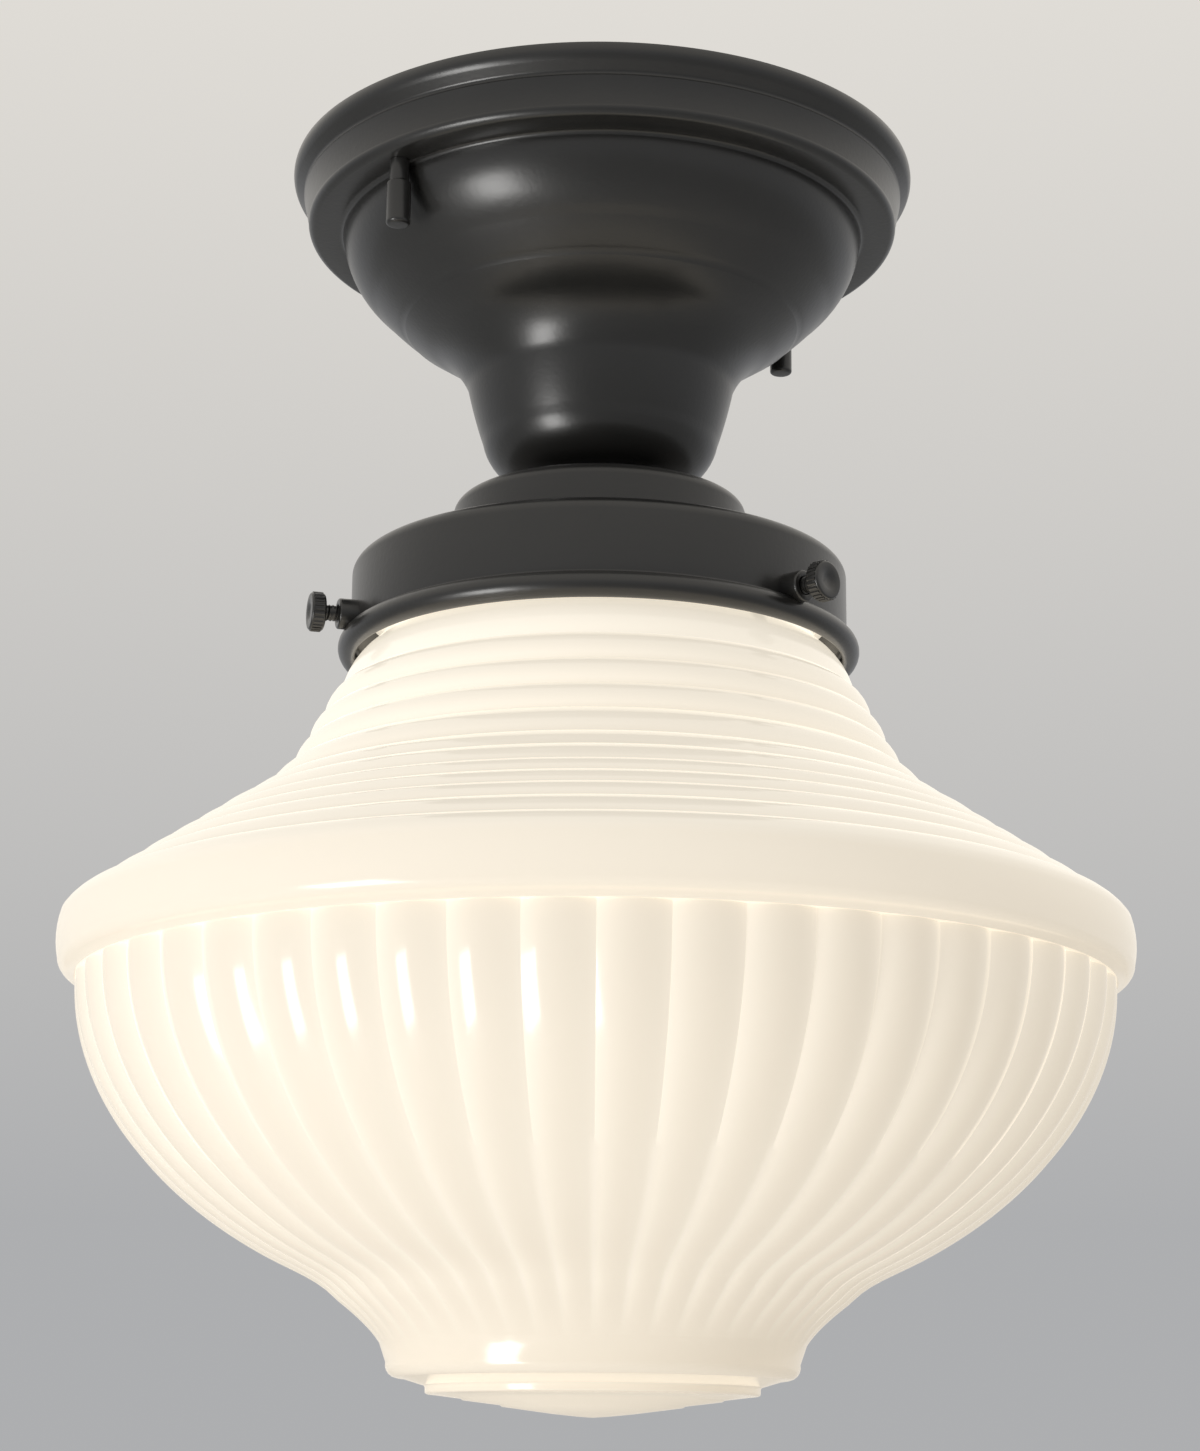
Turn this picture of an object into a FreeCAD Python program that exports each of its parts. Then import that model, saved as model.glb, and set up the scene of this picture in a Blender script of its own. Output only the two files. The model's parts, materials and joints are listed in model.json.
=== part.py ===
"""Semi flush ceiling light: steel canopy, stacked shade holder and ribbed opal glass shade.

Units are millimetres. The origin is the middle of the crossbar's top face, which
lies on the ceiling. +Z is up, so the light hangs below Z = 0, and X runs along
the crossbar, from one canopy stud to the other.
"""
import FreeCAD
import Part
import math
import os

V = FreeCAD.Vector

# ---------------------------------------------------------------- driving sizes
# Fits and small gaps
thread_clearance = 0.05      # radial, between a screw thread and its tapped hole
slide_clearance = 0.08       # radial, between the lamp's base and the socket shell
shade_clearance = 0.3        # between the glass and what holds it
stud_hole_clearance = 0.25   # radial, between a stud and the canopy's hole
socket_seat_clearance = 0.02 # between the socket's body and its bracket's legs
tip_clearance = 0.06         # between a thumb screw's soft tip and the bore that holds it

# Crossbar that is screwed to the outlet box
bar_length = 124.0
bar_width = 16.0
bar_thickness = 2.0
box_slot_spacing = 79.4      # middle of the range of the two common box sizes
box_slot_length = 14.4
box_slot_radius = 2.4
bar_centre_hole_radius = 5.1

# Canopy studs and the cap nuts under the canopy
stud_spacing = 117.2
stud_radius = 1.5
stud_length = 25.2
stud_nut_width = 5.5
stud_nut_height = 2.4
cap_nut_neck_radius = 2.0
cap_nut_neck_height = 5.0
cap_nut_body_radius = 2.5
cap_nut_body_height = 9.3
cap_nut_chamfer = 0.6
cap_nut_end_wall = 1.8

# Ground screw in the crossbar
ground_screw_offset = 17.0
ground_screw_radius = 2.4
ground_head_radius = 4.4
ground_head_height = 2.6
ground_slot_width = 1.0
ground_slot_depth = 1.2
ground_head_taper = 0.8      # the head's lower face as a share of its upper one

# Canopy: pressed steel
canopy_radius = 67.0
canopy_wall = 1.0
canopy_ledge_depth = 13.9    # flat ledge that the cap nuts bear on
canopy_body_radius = 56.3    # where the body starts, inside the ledge
canopy_shoulder_radius = 42.9
canopy_shoulder_depth = 34.3
canopy_neck_radius = 28.6
canopy_neck_depth = 48.0
canopy_bulb_radius = 25.2
canopy_bulb_depth = 60.4
canopy_base_radius = 16.0
canopy_depth = 69.3
rim_round = 1.9              # half height of the rolled rim on the ceiling
rim_groove = 2.0             # how far the groove under the rim lies inside it
ledge_bevel = 3.2            # how far the bevel above the ledge leads inwards

# Threaded tube (nipple) and its nuts and washers
nipple_radius = 4.85
nipple_bore_radius = 3.2
nipple_hole_radius = 5.1
nipple_above_nut = 2.0
nut_width = 14.3
nut_height = 4.0
washer_radius = 8.0
washer_thickness = 1.0
washer_slit = 1.2
spacer_radius = 12.0
spacer_height = 5.3

# Shade holder: pressed steel, a small cap above a wide collar with a rolled bead
holder_wall = 1.0
cap_radius = 31.1
cap_round = 2.7
cap_height = 13.6
cap_fillet = 2.0             # between the cap and the collar's top
collar_slope = 0.8           # the fall of the collar's top towards its edge
collar_radius = 52.2
collar_round = 2.8
collar_height = 16.7         # from the cap's foot down to the bead's top
bead_radius = 2.6

# Three thumb screws
screw_count = 3
screw_first_angle = -88.0
screw_above_bead = 1.7
screw_radius = 1.75
boss_radius = 3.2
boss_length = 3.9
screw_head_radius = 4.1
screw_head_length = 3.0
screw_reach = 2.9            # bare thread between the boss and the head
knurl_count = 22
knurl_depth = 0.35
screw_head_chamfer = 0.4
tip_radius = 1.2
tip_length = 2.4
tip_proud = 0.6

# Glass shade
lip_radius = 49.9
lip_height = 6.4
neck_radius = 45.2
neck_height = 3.5
glass_neck_wall = 3.2
wide_ring_steps = [(3.4, 6.0), (2.9, 5.7), (3.0, 5.6), (6.0, 6.0)]
fine_ring_steps = [(6.6, 4.1), (6.2, 4.2), (4.5, 3.2), (5.4, 3.4), (5.0, 3.6), (6.2, 4.1), (5.7, 3.6)]
flare_run = 8.6
flare_drop = 12.9
wide_ring_bulge = 0.95
fine_ring_bulge = 0.7
band_bulge = 0.7
band_height = 8.5
band_round = 2.6
band_lip = 2.0
band_seat = 1.1              # from the band's rounded lip down to the ribs
bowl_inset = 3.3             # how far the bowl's rim lies inside the band's top
bowl_depth = 68.8            # half height of the bowl's ellipse
bowl_height = 70.3           # from the bowl's rim down to the foot
flare_spread = 0.385         # how fast the foot's flare opens into the bowl
flare_power = 1.4
flare_reach = 1.7
flare_start = 0.78           # shares of the bowl's depth between which ellipse and flare blend
flare_end = 0.91
rib_count = 50
rib_first_angle = -134.8
rib_depth_share = 0.12       # rib depth as a share of the distance between ribs
rib_fade_height = 10.0
rib_last_depth = 0.08        # share of the depth that is left at the foot
rib_levels = [0, 0.1, 0.22, 0.34, 0.46, 0.56, 0.66, 0.75, 0.83, 0.9, 0.955, 1.0]
lip_round = 1.2
lip_seat_round = 2.6         # height of the hollow curve under the lip
flare_hollow_radius = 1.1    # a point on the hollow curve that starts the flare, out and down from the neck
flare_hollow_drop = 1.9
flare_turn_radius = 3.2      # where the hollow curve turns into the round one, out and down from the neck
flare_turn_drop = 3.9
flare_bend_radius = 6.7      # a point on the round curve, out and down from the neck
flare_bend_drop = 7.9
inner_flare_out = 3.4        # the same for the flare's inside
inner_flare_drop = 6.5
foot_radius = 41.9
foot_height = 7.0
foot_round = 2.4
glass_wall = 4.0
rib_inner_gap = 0.6          # extra wall behind the ribs' valleys
glass_floor = 5.0
foot_floor_rise = 1.0
tip_cone_radius = 33.3
tip_cone_height = 7.4        # from the foot's rounded edge down to the tip
tip_step = 1.8
foot_fall = 1.3              # the fall of the foot's underside from its edge to the step

# Lamp socket
socket_radius = 17.5
socket_height = 33.0
socket_below_nut = 4.0
socket_floor = 3.2
socket_top_chamfer = 1.5
socket_mouth_chamfer = 1.0
shell_wall = 0.5
shell_height = 24.0
bracket_thickness = 1.5
bracket_width = 14.0
bracket_leg_height = 24.0
bracket_screw_radius = 1.6
bracket_screw_length = 5.0
bracket_screw_head_radius = 2.9
bracket_screw_head_height = 1.6
bracket_screw_rise = 4.0     # from the end of a leg up to its screw
contact_width = 6.0
contact_thickness = 0.6
contact_gap = 0.2
terminal_radius = 1.7
terminal_length = 2.2
terminal_head_radius = 3.4
terminal_head_height = 1.8
terminal_offset = 9.0
terminal_slot = 0.9

# Lamp
lamp_length = 108.0
lamp_base_radius = 13.1
lamp_base_height = 25.0
lamp_globe_radius = 30.0
lamp_seam_drop = 30.0        # from the base's rim down to the globe's seam
lamp_seam_radius = 27.4
lamp_wall = 1.4
lamp_insulator_height = 2.4
lamp_contact_radius = 4.6
lamp_contact_height = 0.9
lamp_base_wall = 0.4
lamp_insulator_seat = 1.0    # how far the insulator reaches down into the base
lamp_skirt_wall = 1.2
lamp_skirt_lip = 0.4
lamp_skirt_drop = 17.0       # from the base's rim down to the middle of the skirt
board_radius = 21.0
board_thickness = 1.6
board_lip = 2.0
chip_count = 8
chip_width = 3.0
chip_height = 0.8
chip_circle_radius = 13.0

# ------------------------------------------------------- places that follow
bar_bottom = -bar_thickness
canopy_floor = -canopy_depth
holder_top = canopy_floor - spacer_height
cap_foot = holder_top - cap_height
collar_foot = cap_foot - collar_height
bead_middle = collar_foot - bead_radius
screw_height = collar_foot + screw_above_bead
tip_face = neck_radius + shade_clearance
screw_end = tip_face + tip_proud
boss_end = collar_radius + boss_length
head_start = boss_end + screw_reach
head_end = head_start + screw_head_length
lip_bottom = screw_height + screw_radius + shade_clearance
glass_top = lip_bottom + lip_height
bracket_top = holder_top - holder_wall
bracket_bottom = bracket_top - bracket_thickness
holder_washer_bottom = bracket_bottom - washer_thickness
holder_nut_bottom = holder_washer_bottom - nut_height
nipple_bottom = holder_nut_bottom - nipple_above_nut
canopy_washer_top = canopy_floor + canopy_wall + washer_thickness
canopy_nut_top = canopy_washer_top + nut_height
nipple_top = canopy_nut_top + nipple_above_nut
socket_top = holder_nut_bottom - socket_below_nut
socket_mouth = socket_top - socket_height
shell_radius = lamp_base_radius + slide_clearance
shell_outside = shell_radius + shell_wall
lamp_base_bottom = socket_mouth
lamp_base_top = lamp_base_bottom + lamp_base_height
lamp_contact_top = lamp_base_top + lamp_insulator_height + lamp_contact_height
lamp_bottom = lamp_contact_top - lamp_length
lamp_seam = lamp_base_bottom - lamp_seam_drop
bracket_outside = socket_radius + socket_seat_clearance + bracket_thickness
bracket_screw_height = bracket_bottom - bracket_leg_height + bracket_screw_rise
ring_start = (neck_radius + flare_run, lip_bottom - neck_height - flare_drop)
ring_steps = wide_ring_steps + fine_ring_steps
ring_mid = (ring_start[0] + sum(step[0] for step in wide_ring_steps),
            ring_start[1] - sum(step[1] for step in wide_ring_steps))
ring_end = (ring_start[0] + sum(step[0] for step in ring_steps),
            ring_start[1] - sum(step[1] for step in ring_steps))
bowl_radius = ring_end[0] - bowl_inset
bowl_top = ring_end[1] - band_height - band_round - band_seat
foot_top = bowl_top - bowl_height
foot_bottom = foot_top - foot_height
screw_angles = [screw_first_angle + 360.0 / screw_count * i for i in range(screw_count)]


# ------------------------------------------------------------------- helpers
def at(radius, height):
    """A point of a turned outline, in the XZ plane."""
    return V(radius, 0, height)


def outline(start, steps):
    """Edges from start: a pair is a line to (r, z), a four is an arc through (r, z) to (r, z)."""
    edges = []
    here = at(*start)
    for step in steps:
        end = at(*step[-2:])
        if len(step) == 2:
            edges.append(Part.LineSegment(here, end).toShape())
        else:
            edges.append(Part.Arc(here, at(*step[:2]), end).toShape())
        here = end
    return edges


def turn(edges):
    """A solid of revolution about Z from the edges of a closed outline."""
    solid = Part.Face(Part.Wire(edges)).revolve(V(0, 0, 0), V(0, 0, 1), 360)
    if solid.Volume < 0:
        solid.reverse()
    return solid


def turned(start, steps):
    """A solid of revolution from an outline that is closed by a straight line."""
    return turn(outline(start, list(steps) + [start]))


def tube(outer, inner, bottom, top):
    """A round sleeve on the Z axis."""
    body = Part.makeCylinder(outer, top - bottom, V(0, 0, bottom))
    return body.cut(Part.makeCylinder(inner, top - bottom, V(0, 0, bottom)))


def hexagon(width, bore, bottom, top, x=0.0):
    """A hexagonal nut on a vertical axis at x, with its corners lightly turned off."""
    corner = width / math.sqrt(3)
    points = [V(x + corner * math.cos(math.radians(a)), corner * math.sin(math.radians(a)), bottom)
              for a in range(0, 361, 60)]
    nut = Part.Face(Part.makePolygon(points)).extrude(V(0, 0, top - bottom))
    nut = nut.common(Part.makeCylinder(corner * 0.97, top - bottom, V(x, 0, bottom)))
    return nut.cut(Part.makeCylinder(bore, top - bottom, V(x, 0, bottom)))


def radial(radius, start, end, angle, height):
    """A cylinder along a spoke, from one distance to another from the Z axis."""
    way = V(math.cos(math.radians(angle)), math.sin(math.radians(angle)), 0)
    return Part.makeCylinder(radius, end - start, way * start + V(0, 0, height), way)


def pair_at(shape, distance):
    """The shape, drawn at x = 0, copied to plus and minus distance along X."""
    copies = []
    for side in (1, -1):
        copy = shape.copy()
        copy.translate(V(side * distance, 0, 0))
        copies.append(copy)
    return copies


def save(name, shapes):
    """Writes one node: a single solid, or a group of separate ones."""
    solids = shapes if isinstance(shapes, list) else [shapes]
    shape = solids[0] if len(solids) == 1 else Part.makeCompound(solids)
    shape.exportStep(os.path.join("parts", name + ".step"))
    print(name, len(solids), "solids", round(shape.Volume), "mm3", "valid", shape.isValid())


# ------------------------------------------------------- crossbar and its screws
def crossbar():
    half_slot = box_slot_length / 2 - box_slot_radius
    bar = Part.makeBox(bar_length, bar_width, bar_thickness, V(-bar_length / 2, -bar_width / 2, bar_bottom))
    corners = [edge for edge in bar.Edges if abs(edge.tangentAt(edge.FirstParameter).z) > 0.9]
    bar = bar.makeFillet(bar_width / 4, corners)
    slot = Part.makeBox(2 * half_slot, 2 * box_slot_radius, bar_thickness,
                        V(-half_slot, -box_slot_radius, bar_bottom))
    for end in (-half_slot, half_slot):
        slot = slot.fuse(Part.makeCylinder(box_slot_radius, bar_thickness, V(end, 0, bar_bottom)))
    holes = pair_at(slot.removeSplitter(), box_slot_spacing / 2)
    tapped = Part.makeCylinder(stud_radius + thread_clearance, bar_thickness, V(0, 0, bar_bottom))
    holes += pair_at(tapped, stud_spacing / 2)
    holes.append(Part.makeCylinder(bar_centre_hole_radius, bar_thickness, V(0, 0, bar_bottom)))
    holes.append(Part.makeCylinder(ground_screw_radius + thread_clearance, bar_thickness,
                                   V(ground_screw_offset, 0, bar_bottom)))
    return bar.cut(Part.makeCompound(holes))


def ground_screw():
    head = Part.makeCone(ground_head_radius * ground_head_taper, ground_head_radius, ground_head_height,
                         V(0, 0, bar_bottom - ground_head_height))
    slot = Part.makeBox(3 * ground_head_radius, ground_slot_width, ground_slot_depth,
                        V(-1.5 * ground_head_radius, -ground_slot_width / 2, bar_bottom - ground_head_height))
    screw = head.cut(slot).fuse(Part.makeCylinder(ground_screw_radius, bar_thickness, V(0, 0, bar_bottom)))
    screw.translate(V(ground_screw_offset, 0, 0))
    return screw.removeSplitter()


def canopy_studs():
    stud = Part.makeCylinder(stud_radius, stud_length, V(0, 0, -stud_length))
    return pair_at(stud, stud_spacing / 2)


def stud_nuts():
    nut = hexagon(stud_nut_width, stud_radius + thread_clearance, bar_bottom - stud_nut_height, bar_bottom)
    return pair_at(nut, stud_spacing / 2)


def cap_nut(side):
    """A slim blind nut with a narrower neck that bears on the canopy's ledge."""
    top = -canopy_ledge_depth
    body_top = top - cap_nut_neck_height
    bottom = body_top - cap_nut_body_height
    bore = stud_radius + thread_clearance
    nut = turned((bore, top), [
        (cap_nut_neck_radius, top),
        (cap_nut_neck_radius, body_top),
        (cap_nut_body_radius, body_top - 0.4 * cap_nut_chamfer),
        (cap_nut_body_radius, bottom + cap_nut_chamfer),
        (cap_nut_body_radius - cap_nut_chamfer, bottom),
        (0, bottom),
        (0, bottom + cap_nut_end_wall),
        (bore, bottom + cap_nut_end_wall)])
    nut.translate(V(side * stud_spacing / 2, 0, 0))
    return nut


# -------------------------------------------------------------------- canopy
def canopy_outline():
    """Outside of the canopy, from the ceiling down to the nipple's hole."""
    rim = canopy_radius
    ledge = canopy_ledge_depth
    return outline((rim, 0), [
        (rim + 0.3, -rim_round, rim - 0.5, -2 * rim_round),
        (rim - rim_groove, -2 * rim_round - 1.2),
        (rim - rim_groove, -2 * rim_round - 2.4),
        (rim - ledge_bevel, -ledge + 2.0),
        (rim - ledge_bevel - 0.4, -ledge + 0.5, rim - ledge_bevel - 1.5, -ledge),
        (canopy_body_radius, -ledge),
        (canopy_body_radius - 2.4, -ledge - 8.5, canopy_shoulder_radius + 6.1, -canopy_shoulder_depth + 5.9),
        (canopy_shoulder_radius + 3.6, -canopy_shoulder_depth + 3.4,
         canopy_shoulder_radius + 0.7, -canopy_shoulder_depth + 1.1),
        (canopy_shoulder_radius, -canopy_shoulder_depth),
        (canopy_shoulder_radius - 5.7, -canopy_shoulder_depth - 3.7),
        (canopy_neck_radius + 2.9, -canopy_neck_depth + 5.1, canopy_neck_radius, -canopy_neck_depth),
        (canopy_bulb_radius + 1.9, -canopy_bulb_depth + 6.2, canopy_bulb_radius, -canopy_bulb_depth),
        (canopy_bulb_radius - 2.6, -canopy_bulb_depth - 5.3, canopy_base_radius, -canopy_depth),
        (nipple_hole_radius, -canopy_depth)])


def pressed(edges, wall):
    """A sheet that follows an open outline, with its thickness on the inside."""
    strip = Part.Wire(edges).makeOffset2D(-wall, 0, True, True)
    solid = strip.revolve(V(0, 0, 0), V(0, 0, 1), 360).Solids[0]
    if solid.Volume < 0:
        solid.reverse()
    return solid


def canopy():
    shell = pressed(canopy_outline(), canopy_wall)
    hole = Part.makeCylinder(stud_radius + stud_hole_clearance, 3 * canopy_wall,
                             V(0, 0, -canopy_ledge_depth - canopy_wall))
    for cut in pair_at(hole, stud_spacing / 2):
        shell = shell.cut(cut)
    return shell


# ---------------------------------------------------- nipple, nuts and washers
def split_washer(bottom):
    """A lock washer: a flat ring that is cut through on one side."""
    ring = tube(washer_radius, nipple_hole_radius, bottom, bottom + washer_thickness)
    slit = Part.makeBox(washer_radius, washer_slit, washer_thickness, V(0, -washer_slit / 2, bottom))
    return ring.cut(slit)


def nipple_nut(bottom):
    return hexagon(nut_width, nipple_radius + thread_clearance, bottom, bottom + nut_height)


# -------------------------------------------------------------- shade holder
def holder_outline():
    """Outside of the shade holder, from the nipple's hole to the end of the rolled bead."""
    cap_edge = cap_radius - cap_round
    collar_edge = collar_radius - collar_round
    turn_in = math.sqrt(0.5)
    return outline((nipple_hole_radius, holder_top), [
        (cap_edge, holder_top),
        (cap_edge + cap_round * turn_in, holder_top - cap_round * (1 - turn_in),
         cap_radius, holder_top - cap_round),
        (cap_radius, cap_foot + cap_fillet),
        (cap_radius + cap_fillet * (1 - turn_in), cap_foot + cap_fillet * (1 - turn_in),
         cap_radius + cap_fillet, cap_foot),
        (collar_edge, cap_foot - collar_slope),
        (collar_edge + collar_round * turn_in, cap_foot - collar_slope - collar_round * (1 - turn_in),
         collar_radius, cap_foot - collar_slope - collar_round),
        (collar_radius, collar_foot),
        (collar_radius + bead_radius, bead_middle, collar_radius, bead_middle - bead_radius)])


def shade_holder():
    shell = pressed(holder_outline(), holder_wall)
    for angle in screw_angles:
        shell = shell.cut(radial(screw_radius + thread_clearance, lip_radius, boss_end, angle, screw_height))
    return shell


def tapped_bosses():
    """Round threaded bosses, seated on the collar just above its bead."""
    collar = turn(holder_outline() + outline((collar_radius, bead_middle - bead_radius), [
        (0, bead_middle - bead_radius), (0, holder_top), (nipple_hole_radius, holder_top)]))
    bosses = []
    for angle in screw_angles:
        boss = radial(boss_radius, collar_radius - 2 * holder_wall, boss_end, angle, screw_height)
        bore = radial(screw_radius + thread_clearance, 0, boss_end, angle, screw_height)
        bosses.append(boss.cut(collar).cut(bore).Solids[0])
    return bosses


def thumb_screw(angle):
    """A knurled screw whose hollow end holds the soft tip."""
    shank = Part.makeCylinder(screw_radius, head_start - screw_end, V(0, 0, screw_end))
    tip_bore_depth = tip_length - tip_proud + tip_clearance
    shank = shank.cut(Part.makeCylinder(tip_radius + tip_clearance, tip_bore_depth, V(0, 0, screw_end)))
    head = Part.makeCylinder(screw_head_radius, screw_head_length, V(0, 0, head_start))
    head = head.makeChamfer(screw_head_chamfer, [edge for edge in head.Edges if len(edge.Vertexes) == 1])
    groove = Part.makeCylinder(knurl_depth, screw_head_length, V(screw_head_radius, 0, head_start))
    grooves = []
    for i in range(knurl_count):
        copy = groove.copy()
        copy.rotate(V(0, 0, 0), V(0, 0, 1), 360.0 / knurl_count * i)
        grooves.append(copy)
    screw = head.cut(Part.makeCompound(grooves)).fuse(shank)
    return on_spoke(screw, angle)


def screw_tip(angle):
    return on_spoke(Part.makeCylinder(tip_radius, tip_length, V(0, 0, tip_face)), angle)


def on_spoke(shape, angle):
    """Lays a shape drawn along +Z on a spoke at the height of the thumb screws."""
    shape = shape.removeSplitter()
    shape.rotate(V(0, 0, 0), V(0, 1, 0), 90)
    shape.rotate(V(0, 0, 0), V(0, 0, 1), angle)
    shape.translate(V(0, 0, screw_height))
    return shape


# --------------------------------------------------------------- glass shade
def shade_rings():
    """Outline steps of the shade's rings: each one swells out between two sharp creases."""
    steps = []
    radius = neck_radius + flare_run
    height = lip_bottom - neck_height - flare_drop
    for rings, bulge in ((wide_ring_steps, wide_ring_bulge), (fine_ring_steps, fine_ring_bulge)):
        for out, down in rings:
            length = math.hypot(out, down)
            middle = (radius + out / 2 + bulge * down / length, height - down / 2 + bulge * out / length)
            radius += out
            height -= down
            steps.append(middle + (radius, height))
    return steps


def bowl_crest(drop):
    """Radius over the rib crests at a depth below the bowl's rim: an ellipse that flares to the foot."""
    ellipse = bowl_radius * math.sqrt(max(0.0, 1 - (drop / bowl_depth) ** 2))
    flare = foot_radius + flare_spread * (bowl_height + flare_reach - drop) ** flare_power
    share = min(1.0, max(0.0, (drop / bowl_depth - flare_start) / (flare_end - flare_start)))
    blend = share * share * (3 - 2 * share)
    return ellipse * (1 - blend) + flare * blend


def rib_section(drop):
    """The bowl's section at one depth: a ring of outward arcs, with a valley between each two."""
    crest = bowl_crest(drop)
    fade = min(1.0, (bowl_height - drop) / rib_fade_height + rib_last_depth)
    depth = rib_depth_share * 2 * math.pi * crest / rib_count * fade
    edges = []
    for i in range(rib_count):
        spots = []
        for part, radius in ((0, crest - depth), (0.5, crest), (1, crest - depth)):
            angle = math.radians(rib_first_angle + 360.0 / rib_count * (i + part))
            spots.append(V(radius * math.cos(angle), radius * math.sin(angle), bowl_top - drop))
        edges.append(Part.Arc(*spots).toShape())
    return Part.Wire(edges)


def shade_inside(top):
    """The shade's hollow, from its mouth to the floor of the foot."""
    neck = neck_radius - glass_neck_wall
    rim = ring_end[0] - glass_wall
    inside_depth = bowl_depth - glass_wall
    inside_radius = bowl_radius - glass_wall - rib_inner_gap
    floor = foot_bottom + glass_floor + foot_floor_rise
    well = foot_radius - glass_floor

    def oval(share):
        return inside_radius * math.sqrt(1 - share ** 2), bowl_top - share * inside_depth

    return turned((0, top), [
        (neck, top),
        (neck, lip_bottom - neck_height),
        (neck + inner_flare_out, lip_bottom - neck_height - inner_flare_drop,
         ring_start[0] - glass_wall / 2, ring_start[1] - glass_wall / 2),
        (ring_mid[0] - glass_wall, ring_mid[1] - glass_wall / 4),
        (rim, ring_end[1] - glass_wall / 8),
        (rim + band_bulge, ring_end[1] - band_height + band_round) + oval(0.05),
        oval(0.3) + oval(0.52),
        oval(0.74) + oval(0.88),
        (well, foot_top + 0.6),
        (well - 0.6, floor),
        (0, floor)])


def glass_shade():
    """Lip, neck, rings and band are turned, and the ribbed bowl is lofted from scalloped sections."""
    upper = turned((0, glass_top), [
        (lip_radius - lip_round, glass_top),
        (lip_radius - 0.3 * lip_round, glass_top - 0.3 * lip_round, lip_radius, glass_top - lip_round),
        (lip_radius, lip_bottom + lip_seat_round),
        (lip_radius - lip_round, lip_bottom + 0.4 * lip_seat_round, neck_radius + 0.9, lip_bottom),
        (neck_radius, lip_bottom - lip_round),
        (neck_radius, lip_bottom - neck_height),
        (neck_radius + flare_hollow_radius, lip_bottom - neck_height - flare_hollow_drop,
         neck_radius + flare_turn_radius, lip_bottom - neck_height - flare_turn_drop),
        (neck_radius + flare_bend_radius, lip_bottom - neck_height - flare_bend_drop) + ring_start]
        + shade_rings() + [
        (ring_end[0] + band_bulge, ring_end[1] - band_height / 2, ring_end[0] + 0.3, ring_end[1] - band_height),
        (ring_end[0] - 0.4, ring_end[1] - band_height - 0.7 * band_round,
         ring_end[0] - band_lip, ring_end[1] - band_height - band_round),
        (bowl_radius, bowl_top),
        (0, bowl_top)])
    drops = [bowl_height * share for share in rib_levels]
    bowl = Part.makeLoft([rib_section(drop) for drop in drops], True, False)
    foot = turned((0, foot_top), [
        (foot_radius + 0.6, foot_top),
        (foot_radius - 0.7, foot_bottom + foot_round + 0.6),
        (foot_radius - 1.3, foot_bottom + 0.8, foot_radius - foot_round - 1.2, foot_bottom),
        (tip_cone_radius + foot_fall / 2, foot_bottom - foot_fall),
        (tip_cone_radius, foot_bottom - foot_fall - tip_step),
        (0, foot_bottom - tip_cone_height)])
    body = upper.fuse(bowl).fuse(foot)
    return body.cut(shade_inside(glass_top)).Solids[0]


# --------------------------------------------------------------- lamp socket
def socket_bracket():
    """A steel strap on the nipple, with two legs that hold the porcelain body."""
    inner = socket_radius + socket_seat_clearance
    plate = Part.makeBox(2 * bracket_outside, bracket_width, bracket_thickness,
                         V(-bracket_outside, -bracket_width / 2, bracket_bottom))
    leg = Part.makeBox(bracket_thickness, bracket_width, bracket_leg_height,
                       V(inner, -bracket_width / 2, bracket_bottom - bracket_leg_height))
    strap = plate.fuse(leg)
    strap = strap.fuse(leg.mirror(V(0, 0, 0), V(1, 0, 0))).removeSplitter()
    strap = strap.cut(Part.makeCylinder(nipple_hole_radius, bracket_thickness, V(0, 0, bracket_bottom)))
    for angle in (0, 180):
        strap = strap.cut(radial(bracket_screw_radius + thread_clearance, inner, bracket_outside,
                                 angle, bracket_screw_height))
    return strap


def bracket_screws():
    screws = []
    for angle in (0, 180):
        shank = radial(bracket_screw_radius, bracket_outside - bracket_screw_length, bracket_outside, angle,
                       bracket_screw_height)
        head = radial(bracket_screw_head_radius, bracket_outside, bracket_outside + bracket_screw_head_height,
                      angle, bracket_screw_height)
        screws.append(shank.fuse(head).removeSplitter())
    return screws


def socket_body():
    """Porcelain body: a flat on each side for the bracket's legs, and a bore for the screw shell."""
    body = turned((0, socket_top), [
        (socket_radius - socket_top_chamfer, socket_top),
        (socket_radius, socket_top - socket_top_chamfer),
        (socket_radius, socket_mouth + socket_mouth_chamfer),
        (socket_radius - socket_mouth_chamfer, socket_mouth),
        (shell_outside + thread_clearance, socket_mouth),
        (shell_outside + thread_clearance, socket_top - socket_floor),
        (0, socket_top - socket_floor)])
    for angle in (0, 180):
        hole_start = bracket_outside - bracket_screw_length - thread_clearance
        body = body.cut(radial(bracket_screw_radius + thread_clearance, hole_start, socket_radius,
                               angle, bracket_screw_height))
    for side in (1, -1):
        body = body.cut(Part.makeCylinder(terminal_radius + thread_clearance, terminal_length,
                                          V(0, side * terminal_offset, socket_top - terminal_length)))
    return body


def screw_shell():
    """Brass shell, with its rolled thread drawn at the thread's widest size."""
    top = socket_mouth + shell_height
    return tube(shell_outside, shell_radius, socket_mouth, top)


def centre_contact():
    """A bent brass tongue under the socket's floor, which presses on the lamp's tip."""
    top = socket_top - socket_floor
    rest = lamp_contact_top + contact_gap
    length = 2 * lamp_contact_radius
    tongue = outline((-length, top), [
        (-0.4 * length, top),
        (-0.1 * length, rest + contact_thickness),
        (0.5 * length, rest + contact_thickness),
        (0.5 * length, rest),
        (-0.15 * length, rest),
        (-0.45 * length, top - contact_thickness),
        (-length, top - contact_thickness),
        (-length, top)])
    strip = Part.Face(Part.Wire(tongue)).extrude(V(0, contact_width, 0))
    strip.translate(V(0, -contact_width / 2, 0))
    return strip


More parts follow.
